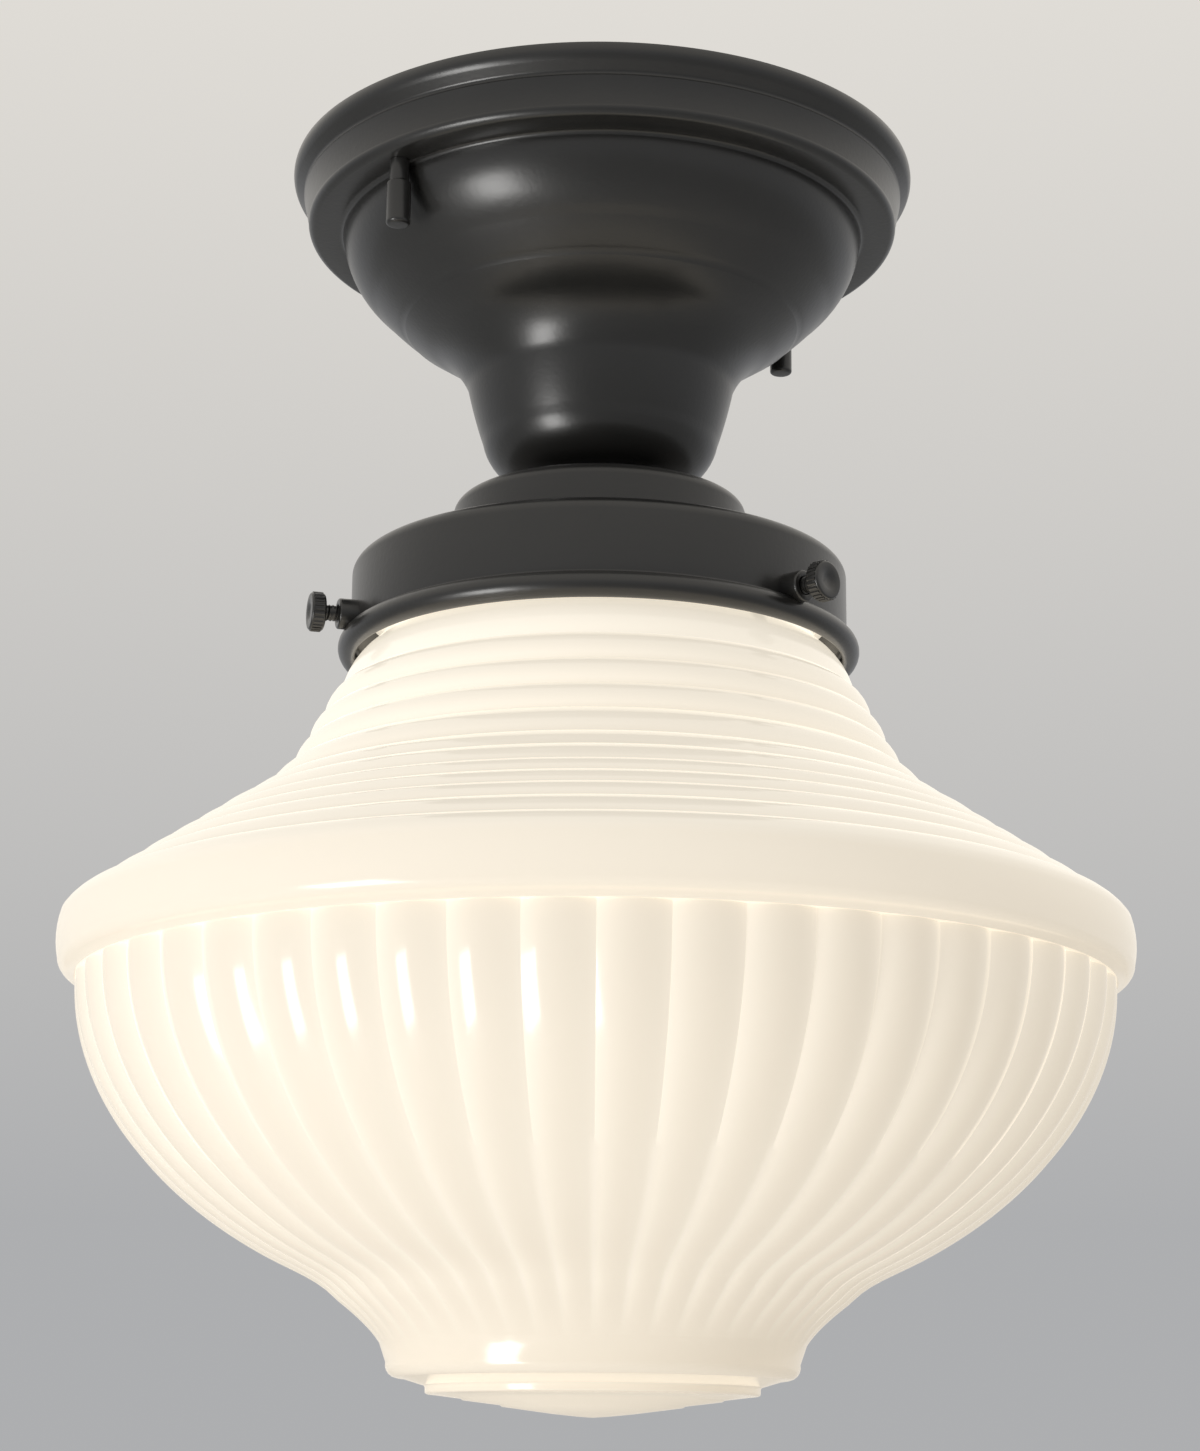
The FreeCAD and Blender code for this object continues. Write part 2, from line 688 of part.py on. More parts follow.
def terminal_screws():
    screws = []
    for side in (1, -1):
        shank = Part.makeCylinder(terminal_radius, terminal_length,
                                  V(0, side * terminal_offset, socket_top - terminal_length))
        head = Part.makeCylinder(terminal_head_radius, terminal_head_height,
                                 V(0, side * terminal_offset, socket_top))
        slot = Part.makeBox(2 * terminal_head_radius, terminal_slot, terminal_slot,
                            V(-terminal_head_radius, side * terminal_offset - terminal_slot / 2,
                              socket_top + terminal_head_height - terminal_slot))
        screws.append(head.cut(slot).fuse(shank).removeSplitter())
    return screws


# ---------------------------------------------------------------------- lamp
def lamp_globe():
    """Hollow opal globe of the lamp, from its seam down to its round end."""
    centre = lamp_bottom + lamp_globe_radius

    def shape(shrink):
        radius = lamp_globe_radius - shrink
        seam = lamp_seam_radius - shrink
        return [
            (0, lamp_seam), (seam, lamp_seam),
            (seam + 0.75 * (radius - seam), lamp_seam - 0.45 * (lamp_seam - centre), radius, centre),
            (radius * math.sqrt(0.5), centre - radius * math.sqrt(0.5), 0, centre - radius)]
    outer = turned(shape(0)[0], shape(0)[1:])
    inner = turned(shape(lamp_wall)[0], shape(lamp_wall)[1:])
    return outer.cut(inner)


def lamp_housing():
    """Moulded skirt between the lamp's base and its globe."""
    top = lamp_base_bottom
    inner = lamp_base_radius - lamp_skirt_wall
    return turned((inner, top), [
        (lamp_base_radius + lamp_skirt_lip, top),
        (lamp_base_radius + 6 * lamp_skirt_lip, top - 0.53 * lamp_skirt_drop,
         (lamp_base_radius + lamp_seam_radius) / 2, top - lamp_skirt_drop),
        (lamp_seam_radius - board_lip - 0.6, lamp_seam + 0.2 * lamp_seam_drop, lamp_seam_radius, lamp_seam),
        (board_radius, lamp_seam),
        (board_radius, lamp_seam + board_thickness),
        (board_radius - board_lip, lamp_seam + board_thickness),
        (inner, top - 0.2 * lamp_seam_drop)])


def led_board():
    board = Part.makeCylinder(board_radius - thread_clearance, board_thickness, V(0, 0, lamp_seam))
    for i in range(chip_count):
        angle = 2 * math.pi * i / chip_count
        corner = V(chip_circle_radius * math.cos(angle) - chip_width / 2,
                   chip_circle_radius * math.sin(angle) - chip_width / 2, lamp_seam - chip_height)
        board = board.fuse(Part.makeBox(chip_width, chip_width, chip_height, corner))
    return board


def lamp_base():
    """The lamp's screw base, with its thread drawn at the thread's widest size."""
    return tube(lamp_base_radius, lamp_base_radius - lamp_base_wall, lamp_base_bottom, lamp_base_top)


def lamp_insulator():
    top = lamp_base_top + lamp_insulator_height
    edge = lamp_base_radius - lamp_base_wall
    return turned((0, lamp_base_top - lamp_insulator_seat), [
        (edge, lamp_base_top - lamp_insulator_seat),
        (edge, lamp_base_top),
        (lamp_contact_radius + lamp_insulator_seat, top),
        (0, top)])


def lamp_contact():
    bottom = lamp_contact_top - lamp_contact_height
    return turned((0, bottom), [
        (lamp_contact_radius, bottom),
        (0.7 * lamp_contact_radius, bottom + 0.8 * lamp_contact_height, 0.35 * lamp_contact_radius,
         lamp_contact_top),
        (0, lamp_contact_top)])


def build():
    os.makedirs("parts", exist_ok=True)
    save("crossbar", crossbar())
    save("ground_screw", ground_screw())
    save("canopy_studs", canopy_studs())
    save("stud_nuts", stud_nuts())
    save("canopy", canopy())
    save("cap_nut_right", cap_nut(1))
    save("cap_nut_left", cap_nut(-1))
    save("nipple", tube(nipple_radius, nipple_bore_radius, nipple_bottom, nipple_top))
    save("canopy_lock_washer", split_washer(canopy_floor + canopy_wall))
    save("canopy_nut", nipple_nut(canopy_washer_top))
    save("spacer_ring", tube(spacer_radius, nipple_hole_radius, holder_top, canopy_floor))
    save("shade_holder", shade_holder())
    save("tapped_bosses", tapped_bosses())
    for number, angle in enumerate(screw_angles, 1):
        save("thumb_screw_%d" % number, thumb_screw(angle))
        save("screw_tip_%d" % number, screw_tip(angle))
    save("socket_bracket", socket_bracket())
    save("holder_lock_washer", split_washer(holder_washer_bottom))
    save("holder_nut", nipple_nut(holder_nut_bottom))
    save("bracket_screws", bracket_screws())
    save("socket_body", socket_body())
    save("screw_shell", screw_shell())
    save("centre_contact", centre_contact())
    save("terminal_screws", terminal_screws())
    save("lamp_base", lamp_base())
    save("lamp_insulator", lamp_insulator())
    save("lamp_contact", lamp_contact())
    save("lamp_housing", lamp_housing())
    save("led_board", led_board())
    save("lamp_globe", lamp_globe())
    save("glass_shade", glass_shade())


build()
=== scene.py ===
# %% [markdown]
# # A semi flush ceiling light
# A pressed steel canopy is screwed to the ceiling. Under it hang a round shade
# holder and a ribbed opal glass shade, lit from inside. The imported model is
# loaded first: it says where every piece lies, in metres, with Z up and the
# ceiling at Z = 0, and nothing below ever moves it.

# %% The frame
import json
import math

import bmesh
import bpy
from mathutils import Matrix, Vector


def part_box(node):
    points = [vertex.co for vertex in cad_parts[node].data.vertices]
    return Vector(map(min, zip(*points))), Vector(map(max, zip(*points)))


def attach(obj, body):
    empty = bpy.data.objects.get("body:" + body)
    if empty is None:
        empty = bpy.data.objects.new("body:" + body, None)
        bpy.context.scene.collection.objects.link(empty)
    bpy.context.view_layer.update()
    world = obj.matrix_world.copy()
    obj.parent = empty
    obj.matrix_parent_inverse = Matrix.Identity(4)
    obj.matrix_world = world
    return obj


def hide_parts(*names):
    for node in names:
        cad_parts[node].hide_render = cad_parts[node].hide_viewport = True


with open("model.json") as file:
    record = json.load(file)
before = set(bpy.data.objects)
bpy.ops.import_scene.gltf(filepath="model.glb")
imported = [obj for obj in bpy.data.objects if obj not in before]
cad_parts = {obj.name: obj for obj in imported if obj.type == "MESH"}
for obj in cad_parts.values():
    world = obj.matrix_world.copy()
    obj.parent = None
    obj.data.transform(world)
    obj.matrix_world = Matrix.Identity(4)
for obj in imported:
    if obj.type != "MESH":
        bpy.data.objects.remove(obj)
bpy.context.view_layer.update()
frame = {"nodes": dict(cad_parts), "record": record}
MM = 0.001
scene = bpy.context.scene
scene.view_settings.view_transform = "Standard"

# %% [markdown]
# ## Where the main pieces lie
# Sizes come from the frame's boxes, so the dressed pieces follow the model. Each
# box is the lowest and highest corner of a piece, turned into millimetres here
# because the outlines below are written in millimetres.

# %% Heights and radii
def span(node):
    """Lowest height, highest height and half width of a piece, in millimetres."""
    low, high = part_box(node)
    return low.z / MM, high.z / MM, (high.x - low.x) / 2 / MM


canopy_bottom, ceiling, canopy_radius = span("canopy")
holder_bottom, holder_top = span("shade_holder")[:2]
shade_bottom, shade_top, shade_radius = span("glass_shade")
print("canopy", round(-canopy_bottom, 1), "mm deep, shade", round(2 * shade_radius, 1), "mm wide")

# %% [markdown]
# ## Outlines that are turned round the axis
# Canopy, holder and glass were all spun or blown into round forms, so each is an
# outline turned about the Z axis. An outline is a start point and a list of
# steps: two numbers are a straight line to a radius and height, four numbers are
# an arc through the first pair to the second.

# %% Outline and lathe helpers
def arc_points(start, middle, end, count):
    """Points on the circle through three points, after the start and up to the end."""
    ax, ay = start
    bx, by = middle
    cx, cy = end
    d = 2 * (ax * (by - cy) + bx * (cy - ay) + cx * (ay - by))
    a, b, c = ax * ax + ay * ay, bx * bx + by * by, cx * cx + cy * cy
    ux = (a * (by - cy) + b * (cy - ay) + c * (ay - by)) / d
    uy = (a * (cx - bx) + b * (ax - cx) + c * (bx - ax)) / d
    radius = math.hypot(ax - ux, ay - uy)
    first, via, last = (math.atan2(y - uy, x - ux) for x, y in (start, middle, end))
    turn = (last - first) % math.tau
    if (via - first) % math.tau > turn:
        turn -= math.tau
    angles = [first + turn * i / count for i in range(1, count + 1)]
    return [(ux + radius * math.cos(angle), uy + radius * math.sin(angle)) for angle in angles]


def trace(start, steps, arc_count=8):
    """The outline as a list of (radius, height) points."""
    points = [start]
    for step in steps:
        if len(step) == 2:
            points.append(tuple(step))
        else:
            points += arc_points(points[-1], step[:2], step[2:], arc_count)
    return points


def lathe_mesh(name, points, segments, closed=False, first_angle=0.0):
    """A mesh turned about Z from outline points in millimetres. Points on the axis become poles."""
    bm = bmesh.new()
    rings = []
    for radius, height in points:
        if radius < 1e-6:
            rings.append([bm.verts.new((0, 0, height * MM))] * segments)
            continue
        ring = []
        for i in range(segments):
            angle = first_angle + math.tau * i / segments
            point = Vector((radius * math.cos(angle), radius * math.sin(angle), height))
            ring.append(bm.verts.new(point * MM))
        rings.append(ring)
    if closed:
        rings.append(rings[0])
    for upper, lower in zip(rings, rings[1:]):
        for i in range(segments):
            j = (i + 1) % segments
            corners = list(dict.fromkeys((upper[i], upper[j], lower[j], lower[i])))
            if len(corners) > 2:
                bm.faces.new(corners)
    bmesh.ops.recalc_face_normals(bm, faces=bm.faces)
    mesh = bpy.data.meshes.new(name)
    bm.to_mesh(mesh)
    bm.free()
    sharpen(mesh)
    return mesh


def sharpen(mesh, limit=32.0):
    """Smooth shading, with hard edges where two faces meet at more than the limit in degrees."""
    mesh.polygons.foreach_set("use_smooth", [True] * len(mesh.polygons))
    mesh.set_sharp_from_angle(angle=math.radians(limit))


def add_piece(name, mesh, material, body, slot, *nodes):
    """Makes the piece of a finished mesh, puts it on its body and hides the model's pieces that it stands for.
    """
    piece = bpy.data.objects.new(name, mesh)
    scene.collection.objects.link(piece)
    if material and not mesh.materials:
        mesh.materials.append(material)
    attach(piece, body)
    if nodes:
        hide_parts(*nodes)
    print(name, len(mesh.polygons), "faces")
    return piece


# %% [markdown]
# ## Node helpers
# Materials, the world and the shaped repeats below are all node trees. These two
# helpers fill any of them: a feed is a constant, or the result of another node.

# %% Filling a tree
def feed(tree, node, feeds):
    """Sets a node's inputs, each to a constant or to another node's result."""
    for key, value in feeds.items():
        if isinstance(value, bpy.types.NodeSocket):
            tree.links.new(value, node.inputs[key])
        else:
            node.inputs[key].default_value = value


def add(tree, kind, feeds=None, **settings):
    """Adds a node: settings are its own options, feeds go to its inputs."""
    made = tree.nodes.new(kind)
    for key, value in settings.items():
        setattr(made, key, value)
    feed(tree, made, feeds or {})
    return made


def calc(tree, operation, *values):
    """A math node's result."""
    return add(tree, "ShaderNodeMath", dict(enumerate(values)), operation=operation).outputs[0]


# %% [markdown]
# ## Finishes
# Every finish is a small node tree on Object coordinates: a fine noise gives the
# bump of the surface, a coarse one varies colour and roughness a little, as
# handling and dust do. One maker serves them all, because only the numbers differ.

# %% Material maker
GRAIN_HEIGHT = 0.0002


def noise(tree, scale, detail=2.0):
    """A noise on the piece's own coordinates."""
    place = add(tree, "ShaderNodeTexCoord").outputs["Object"]
    return add(tree, "ShaderNodeTexNoise", {"Vector": place, "Scale": scale, "Detail": detail}).outputs["Fac"]


def blend(tree, factor, first, second):
    """A colour between two colours."""
    colors = {"A": (*first, 1), "B": (*second, 1), "Factor": factor}
    return add(tree, "ShaderNodeMix", colors, data_type="RGBA").outputs["Result"]


def between(tree, factor, low, high):
    """A number between two numbers."""
    return add(tree, "ShaderNodeMapRange", {"Value": factor, "To Min": low, "To Max": high}).outputs["Result"]


def relief(tree, height, strength, distance):
    """A bump of the surface, in metres."""
    return add(tree, "ShaderNodeBump", {
        "Height": height, "Strength": strength, "Distance": distance}).outputs["Normal"]


def new_material(name):
    """A material with its node tree and its shader."""
    material = bpy.data.materials.new(name)
    material.use_nodes = True
    return material, material.node_tree, material.node_tree.nodes["Principled BSDF"]


def make_finish(name, color, shade, roughness, metallic=0.0, grain=900.0, bump=0.1, rough_spread=0.06,
                patch=60.0, coat=0.0, coat_roughness=0.25):
    """A Principled finish: two close colours in patches, varied roughness and a fine bump."""
    material, tree, shader = new_material(name)
    patches = noise(tree, patch, 4.0)
    feed(tree, shader, {
        "Base Color": blend(tree, patches, color, shade),
        "Roughness": between(tree, patches, roughness - rough_spread, roughness + rough_spread),
        "Normal": relief(tree, noise(tree, grain), bump, GRAIN_HEIGHT),
        "Metallic": metallic,
        "Coat Weight": coat,
        "Coat Roughness": coat_roughness})
    return material


paint = make_finish("charcoal_paint", (0.012, 0.0118, 0.011), (0.019, 0.0182, 0.0168), 0.33, grain=900.0,
                    bump=0.14, rough_spread=0.04, coat=0.5)
zinc = make_finish("zinc_steel", (0.58, 0.58, 0.56), (0.46, 0.46, 0.45), 0.34, metallic=1.0, grain=1400.0)
green = make_finish("green_screw", (0.02, 0.17, 0.06), (0.03, 0.24, 0.09), 0.36, metallic=0.6)
brass = make_finish("brass", (0.72, 0.50, 0.20), (0.58, 0.38, 0.14), 0.3, metallic=1.0)
porcelain = make_finish("porcelain", (0.84, 0.82, 0.76), (0.78, 0.76, 0.70), 0.12, grain=160.0, bump=0.05,
                        rough_spread=0.03)
nylon = make_finish("nylon", (0.80, 0.79, 0.74), (0.72, 0.71, 0.66), 0.5)
nickel = make_finish("nickel", (0.68, 0.66, 0.62), (0.56, 0.55, 0.52), 0.25, metallic=1.0)
insulator = make_finish("black_insulator", (0.012, 0.012, 0.013), (0.02, 0.02, 0.022), 0.15)
housing = make_finish("lamp_plastic", (0.82, 0.81, 0.78), (0.76, 0.75, 0.72), 0.42)
board = make_finish("board", (0.78, 0.79, 0.77), (0.70, 0.72, 0.70), 0.4, patch=300.0)

# %% [markdown]
# ## The pieces that stay as they are
# Bars, nuts, washers, the socket and the lamp's parts have their true shape in
# the model already, so they keep it and only get their finish.

# %% Finishes for the model's own pieces
finishes = {
    "zinc_steel": zinc, "green_screw": green, "brass": brass, "porcelain": porcelain, "nylon": nylon,
    "nickel": nickel, "black_insulator": insulator, "lamp_plastic": housing, "board": board,
    "charcoal_paint": paint, "opal_glass": porcelain, "lamp_opal": housing}
for part in frame["record"]["subparts"]:
    node = frame["nodes"][part["node"]]
    node.data.materials.clear()
    node.data.materials.append(finishes[part["material_slot"]])
print("finished", len(frame["nodes"]), "model pieces")

# %% [markdown]
# ## Canopy
# The canopy was pressed from one sheet, so it has the same thickness all over:
# a rolled rim on the ceiling, a flat ledge that the two nuts bear on, a cone that
# sweeps into a neck, and a round base. The outline is its outside, and a
# thickened copy of it closes the sheet.

# %% Thin sheet helper
def thicken(points, wall):
    """Closes a sheet: the outline, then the same outline moved to its right-hand side by the wall."""
    inside = []
    for i, (radius, height) in enumerate(points):
        before = points[max(i - 1, 0)]
        after = points[min(i + 1, len(points) - 1)]
        run, rise = after[0] - before[0], after[1] - before[1]
        length = math.hypot(run, rise)
        inside.append((radius + wall * rise / length, height - wall * run / length))
    return points + inside[::-1]


# %% Canopy outline
rim = canopy_radius - 0.3
ledge = -13.9
cone_foot = (42.9, -34.3)
neck = (28.6, -48.0)
bulb = (25.2, -60.4)
canopy_wall = 1.0
canopy_outline = trace((rim, ceiling), [
    (rim + 0.3, -1.9, rim - 0.5, -3.7),
    (rim - 1.9, -4.9),
    (rim - 2.15, -5.5, rim - 2.0, -6.1),
    (rim - 3.2, ledge + 2.2),
    (rim - 3.5, ledge + 0.7, rim - 4.7, ledge),
    (57.4, ledge),
    (56.5, ledge - 0.25, 56.2, ledge - 1.1),
    (53.9, -22.4, cone_foot[0] + 6.1, cone_foot[1] + 5.9),
    (cone_foot[0] + 3.7, cone_foot[1] + 3.5, cone_foot[0] + 0.9, cone_foot[1] + 1.0),
    (cone_foot[0] + 0.1, cone_foot[1] + 0.35, cone_foot[0] - 0.6, cone_foot[1] - 0.4),
    (cone_foot[0] - 5.7, cone_foot[1] - 3.7),
    (neck[0] + 2.9, neck[1] + 5.1, *neck),
    (bulb[0] + 1.9, bulb[1] + 6.2, *bulb),
    (bulb[0] - 2.6, bulb[1] - 5.3, 16.0, canopy_bottom),
    (5.1, canopy_bottom)], 12)
canopy_mesh = lathe_mesh("canopy_shell", thicken(canopy_outline, canopy_wall), 256, True)
add_piece("canopy_shell", canopy_mesh, paint, "fixture", "charcoal_paint", "canopy")

# %% [markdown]
# ## Shade holder
# The holder is pressed too: a small cap on top, a wide collar below it, and a
# bead rolled outwards at the mouth, which stiffens the edge and hides the gap
# round the glass.

# %% Holder outline
cap_radius = 31.1
cap_foot = holder_top - 13.6
collar_radius = 52.2
bead = 2.6
holder_wall = 1.0
pipe_hole = 5.1
collar_foot = holder_bottom + 2 * bead
holder_outline = trace((pipe_hole, holder_top), [
    (cap_radius - 2.7, holder_top),
    (cap_radius - 0.79, holder_top - 0.79, cap_radius, holder_top - 2.7),
    (cap_radius, cap_foot + 2.0),
    (cap_radius + 0.6, cap_foot + 0.6, cap_radius + 2.0, cap_foot),
    (collar_radius - 2.8, cap_foot - 0.8),
    (collar_radius - 0.82, cap_foot - 1.62, collar_radius, cap_foot - 3.6),
    (collar_radius, collar_foot + 0.5),
    (collar_radius + 0.12, collar_foot + 0.1, collar_radius + 0.6, collar_foot - 0.05),
    (collar_radius + bead, collar_foot - bead, collar_radius, holder_bottom),
    (collar_radius - 0.9, holder_bottom + 0.5, collar_radius - 1.0, holder_bottom + 1.3)], 12)
holder_mesh = lathe_mesh("holder_shell", thicken(holder_outline, holder_wall), 256, True)
holder = add_piece("holder_shell", holder_mesh, paint, "fixture", "charcoal_paint", "shade_holder")

# %% [markdown]
# ## Geometry Nodes helpers
# Threads, knurls and ribs repeat or follow a form, so each is a small tree with
# its sizes as named inputs. The helpers below start and end a tree, and turn what
# it makes into a plain mesh, because instances and modifiers don't survive an
# export.

# %% Tree helpers
def start_tree(name, sizes):
    """A new tree with a Geometry socket each way and one named input for each size."""
    tree = bpy.data.node_groups.new(name, "GeometryNodeTree")
    tree.interface.new_socket("Geometry", in_out="INPUT", socket_type="NodeSocketGeometry")
    tree.interface.new_socket("Geometry", in_out="OUTPUT", socket_type="NodeSocketGeometry")
    for label, kind in sizes.items():
        tree.interface.new_socket(label, in_out="INPUT", socket_type="NodeSocket" + kind)
    return tree, tree.nodes.new("NodeGroupInput"), tree.nodes.new("NodeGroupOutput")


def end_tree(tree, source, material_socket, group_out):
    """Realizes the instances, gives them their material and ends the tree."""
    real = add(tree, "GeometryNodeRealizeInstances", {"Geometry": source})
    dressed = add(tree, "GeometryNodeSetMaterial", {"Geometry": real.outputs[0], "Material": material_socket})
    smooth = add(tree, "GeometryNodeSetShadeSmooth", {"Geometry": dressed.outputs[0]})
    tree.links.new(smooth.outputs[0], group_out.inputs["Geometry"])


def run_tree(mesh, tree, values):
    """Runs a tree on a mesh and returns the plain mesh that it makes."""
    work = bpy.data.objects.new("work", mesh)
    scene.collection.objects.link(work)
    modifier = work.modifiers.new("tree", "NODES")
    modifier.node_group = tree
    for item in tree.interface.items_tree:
        if item.in_out == "INPUT" and item.name in values:
            modifier[item.identifier] = values[item.name]
    evaluated = work.evaluated_get(bpy.context.evaluated_depsgraph_get())
    result = bpy.data.meshes.new_from_object(evaluated)
    work.modifiers.clear()
    bpy.data.objects.remove(work)
    sharpen(result)
    return result


# %% [markdown]
# ## Threads and knurls
# A rolled thread is a ridge wound up the shank, and a straight knurl is a ring of
# ridges. The thread tree sweeps a small section along a spiral and adds it to
# the shank. The knurl tree sets one ridge on each point of a circle.

# %% Thread tree
thread_tree, given, out = start_tree("rolled_thread", {
    "Radius": "Float", "Ridge": "Float", "Pitch": "Float", "Turns": "Float", "Start": "Float",
    "Material": "Material"})
spiral = add(thread_tree, "GeometryNodeCurveSpiral", {
    "Resolution": 24, "Rotations": given.outputs["Turns"], "Start Radius": given.outputs["Radius"],
    "End Radius": given.outputs["Radius"],
    "Height": calc(thread_tree, "MULTIPLY", given.outputs["Pitch"], given.outputs["Turns"])})
ridge = add(thread_tree, "GeometryNodeCurvePrimitiveCircle", {
    "Resolution": 4, "Radius": given.outputs["Ridge"]})
sweep = add(thread_tree, "GeometryNodeCurveToMesh", {
    "Curve": spiral.outputs[0], "Profile Curve": ridge.outputs[0], "Fill Caps": True})
raised = add(thread_tree, "GeometryNodeTransform", {
    "Geometry": sweep.outputs[0],
    "Translation": add(thread_tree, "ShaderNodeCombineXYZ", {"Z": given.outputs["Start"]}).outputs[0]})
both = add(thread_tree, "GeometryNodeJoinGeometry")
thread_tree.links.new(given.outputs["Geometry"], both.inputs[0])
thread_tree.links.new(raised.outputs[0], both.inputs[0])
end_tree(thread_tree, both.outputs[0], given.outputs["Material"], out)

# %% Knurl tree
knurl_tree, given, out = start_tree("straight_knurl", {
    "Radius": "Float", "Ridge": "Float", "Length": "Float", "Count": "Int", "Start": "Float",
    "Material": "Material"})
ring = add(knurl_tree, "GeometryNodeMeshCircle", {
    "Vertices": given.outputs["Count"], "Radius": given.outputs["Radius"]})
rod = add(knurl_tree, "GeometryNodeMeshCylinder", {
    "Vertices": 6, "Radius": given.outputs["Ridge"], "Depth": given.outputs["Length"]})
spots = add(knurl_tree, "GeometryNodeInstanceOnPoints", {
    "Points": ring.outputs[0], "Instance": rod.outputs[0]})
lifted = add(knurl_tree, "GeometryNodeTransform", {
    "Geometry": spots.outputs[0],
    "Translation": add(knurl_tree, "ShaderNodeCombineXYZ", {"Z": given.outputs["Start"]}).outputs[0]})
both = add(knurl_tree, "GeometryNodeJoinGeometry")
knurl_tree.links.new(given.outputs["Geometry"], both.inputs[0])
knurl_tree.links.new(lifted.outputs[0], both.inputs[0])
end_tree(knurl_tree, both.outputs[0], given.outputs["Material"], out)

# %% [markdown]
# ## Thumb screws
# Three screws pinch the glass in its holder, a third of a turn apart. Each is
# drawn once, standing on the Z axis with its tip at the bottom: shank, thread and
# knurled head. A copy is then laid on each spoke, where the model has its screw.

# %% One screw
screw_radius = 1.75
shank_start = 46.1
head_start = 59.0
head_radius = 4.1
head_length = 3.0
thread_pitch = 0.794
tip_bore = 1.25
tip_depth = 1.8
thread_ridge = 0.24
thread_turns = 15.5
knurl_ridge = 0.36
knurl_count = 26
screw_outline = trace((0, shank_start + tip_depth), [
    (tip_bore, shank_start + tip_depth),
    (tip_bore, shank_start),
    (screw_radius - 0.25, shank_start),
    (screw_radius - 0.2, head_start - 0.3),
    (screw_radius + 0.5, head_start),
    (head_radius - 0.75, head_start),
    (head_radius - 0.35, head_start + 0.12, head_radius - 0.2, head_start + 0.5),
    (head_radius - 0.2, head_start + head_length - 0.5),
    (head_radius - 0.35, head_start + head_length - 0.12, head_radius - 0.75, head_start + head_length),
    (1.9, head_start + head_length),
    (1.3, head_start + head_length - 0.35),
    (0, head_start + head_length - 0.35)], 5)
screw_mesh = lathe_mesh("thumb_screw", screw_outline, 48)
screw_mesh = run_tree(screw_mesh, thread_tree, {
    "Radius": (screw_radius - thread_ridge) * MM, "Ridge": thread_ridge * MM, "Pitch": thread_pitch * MM,
    "Turns": thread_turns, "Start": (shank_start + 0.3) * MM, "Material": paint})
screw_mesh = run_tree(screw_mesh, knurl_tree, {
    "Radius": (head_radius - 0.3) * MM, "Ridge": knurl_ridge * MM, "Length": (head_length - 1.0) * MM,
    "Count": knurl_count, "Start": (head_start + head_length / 2) * MM, "Material": paint})
print("one thumb screw has", len(screw_mesh.polygons), "faces")


# %% Three screws and their bosses
def on_spoke(mesh, name, angle, height):
    """A copy of a mesh that stands on the Z axis, laid along a spoke at a height."""
    laid = mesh.copy()
    laid.name = name
    way = Matrix.Rotation(angle, 4, "Z") @ Matrix.Rotation(math.pi / 2, 4, "Y")
    laid.transform(Matrix.Translation((0, 0, height)) @ way)
    return laid


def node_middle(node):
    """The middle of a piece's box, in metres."""
    low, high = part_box(node)
    return (low + high) / 2


boss_bore = 1.85
boss_radius = 3.2
boss_start = 51.6
boss_end = 56.1
boss_outline = trace((boss_bore, boss_start), [
    (boss_radius, boss_start),
    (boss_radius, boss_end - 0.5),
    (boss_radius - 0.1, boss_end - 0.15, boss_radius - 0.45, boss_end),
    (boss_bore + 0.4, boss_end),
    (boss_bore + 0.1, boss_end - 0.1, boss_bore, boss_end - 0.4)], 4)
boss_mesh = lathe_mesh("tapped_boss", boss_outline, 40, True)
drill_radius = 1.9
drill_start, drill_end = 49.0, 54.0
drill_mesh = lathe_mesh("drill", [
    (0, drill_start), (drill_radius, drill_start), (drill_radius, drill_end), (0, drill_end)], 32)
bosses = bmesh.new()
drills = bmesh.new()
for number in (1, 2, 3):
    middle = node_middle("thumb_screw_%d" % number)
    angle = math.atan2(middle.y, middle.x)
    laid = on_spoke(screw_mesh, "knurled_screw_%d" % number, angle, middle.z)
    add_piece("knurled_screw_%d" % number, laid, None, "screw_%d" % number, "charcoal_paint",
              "thumb_screw_%d" % number)
    bosses.from_mesh(on_spoke(boss_mesh, "boss", angle, middle.z))
    drills.from_mesh(on_spoke(drill_mesh, "drill", angle, middle.z))
boss_ring = bpy.data.meshes.new("bosses")
bosses.to_mesh(boss_ring)
bosses.free()
add_piece("screw_bosses", boss_ring, paint, "fixture", "charcoal_paint", "tapped_bosses")

# %% [markdown]
# The holder was turned without holes. Each screw needs one behind its boss, or
# its tip would run through the wall when it is backed off.

# %% Holes in the collar behind the bosses
drill_ring = bpy.data.meshes.new("drills")
drills.to_mesh(drill_ring)
drills.free()
cutter = bpy.data.objects.new("cutter", drill_ring)
scene.collection.objects.link(cutter)
holes = holder.modifiers.new("holes", "BOOLEAN")
holes.object = cutter
drilled = bpy.data.meshes.new_from_object(holder.evaluated_get(bpy.context.evaluated_depsgraph_get()))
holder.modifiers.clear()
holder.data = drilled
sharpen(drilled)
bpy.data.objects.remove(cutter)
print("the drilled holder has", len(drilled.polygons), "faces")

# %% [markdown]
# ## Cap nuts
# The canopy hangs on two slim nuts, one on each stud. They are turned pieces
# with a narrower neck, which bears on the canopy's ledge, and a chamfered end.

# %% Two cap nuts
nut_bore = 1.55


